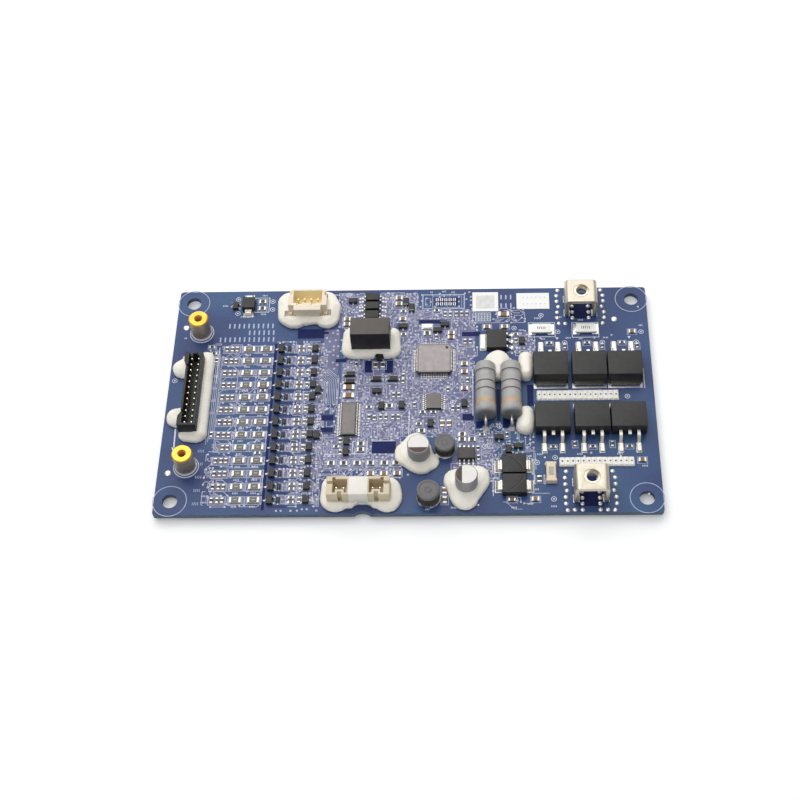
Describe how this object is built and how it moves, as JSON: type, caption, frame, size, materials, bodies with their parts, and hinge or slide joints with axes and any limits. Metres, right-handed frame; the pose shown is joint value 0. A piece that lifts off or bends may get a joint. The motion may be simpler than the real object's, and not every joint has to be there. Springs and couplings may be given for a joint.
{
  "type": "battery management board",
  "caption": "Flat circuit board that monitors and switches a battery pack, with a cell header, screw terminals, power transistors and two bored standoffs.",
  "frame": {"origin": "centre of the board's footprint, on the plane that its trimmed pin tails stand on", "axes": "+X along the board towards the screw terminals, +Y away from the edge with the two small sockets, +Z out of the component side"},
  "size_m": [0.142, 0.078, 0.0134],
  "materials": {
    "laminate": "satin",
    "solder": "bright",
    "brass": "turned, bright",
    "nickel_plate": "satin plating",
    "header_black": "moulded",
    "contact_metal": "tin plated",
    "ivory_nylon": "moulded",
    "cream_nylon": "moulded",
    "white_compound": "smooth",
    "mould_compound": "fine matt",
    "chip_compound": "fine matt",
    "lead_metal": "tinned",
    "shunt_ceramic": "printed",
    "resistor_coat": "lacquered",
    "can_aluminium": "sleeveless can",
    "base_black": "moulded",
    "ferrite": "sintered",
    "enamel_wire": "enamelled",
    "module_black": "moulded",
    "fuse_ceramic": "moulded",
    "chip_ceramic": "glazed",
    "capacitor_ceramic": "fired",
    "label_paper": "uncoated",
    "silicone": "soft gloss"
  },
  "bodies": {
    "root": {"pcb": "laminate", "solder_domes": "solder", "solder_strips": "solder", "standoffs": "brass", "standoff_solder": "solder", "terminal_far": "nickel_plate", "terminal_near": "nickel_plate", "header_housing": "header_black", "header_pins": "contact_metal", "far_connector_housing": "ivory_nylon", "far_connector_contacts": "contact_metal", "far_connector_tabs": "lead_metal", "socket_housings": "cream_nylon", "socket_pins": "contact_metal", "socket_bridge": "white_compound", "mosfet_bodies": "mould_compound", "mosfet_lead_frames": "lead_metal", "shunt_resistors": "shunt_ceramic", "power_resistor_bodies": "resistor_coat", "power_resistor_leads": "lead_metal", "controller_body": "chip_compound", "controller_leads": "lead_metal", "monitor_body": "chip_compound", "monitor_leads": "lead_metal", "driver_body": "chip_compound", "driver_leads": "lead_metal", "memory_body": "mould_compound", "memory_leads": "lead_metal", "regulator_body": "mould_compound", "regulator_lead_frame": "lead_metal", "optocoupler_bodies": "mould_compound", "optocoupler_leads": "lead_metal", "converter_module": "module_black", "converter_pins": "lead_metal", "capacitor_cans": "can_aluminium", "capacitor_bases": "base_black", "inductor_cores": "ferrite", "inductor_windings": "enamel_wire", "surge_diode_bodies": "mould_compound", "surge_diode_leads": "lead_metal", "chip_fuse": "fuse_ceramic", "balance_resistors": "chip_ceramic", "filter_resistors": "chip_ceramic", "filter_capacitors": "capacitor_ceramic", "balance_transistors": "mould_compound", "gate_diodes": "mould_compound", "sense_resistors": "chip_ceramic", "level_transistors": "mould_compound", "small_transistors": "mould_compound", "signal_diodes": "mould_compound", "chip_capacitors": "capacitor_ceramic", "chip_resistors": "chip_ceramic", "crystal_can": "can_aluminium", "paper_labels": "label_paper", "silicone_header": "silicone", "silicone_far_connector": "silicone", "silicone_converter": "silicone", "silicone_sockets": "silicone", "silicone_capacitors": "silicone", "silicone_resistors": "silicone"}
  },
  "joints": []
}
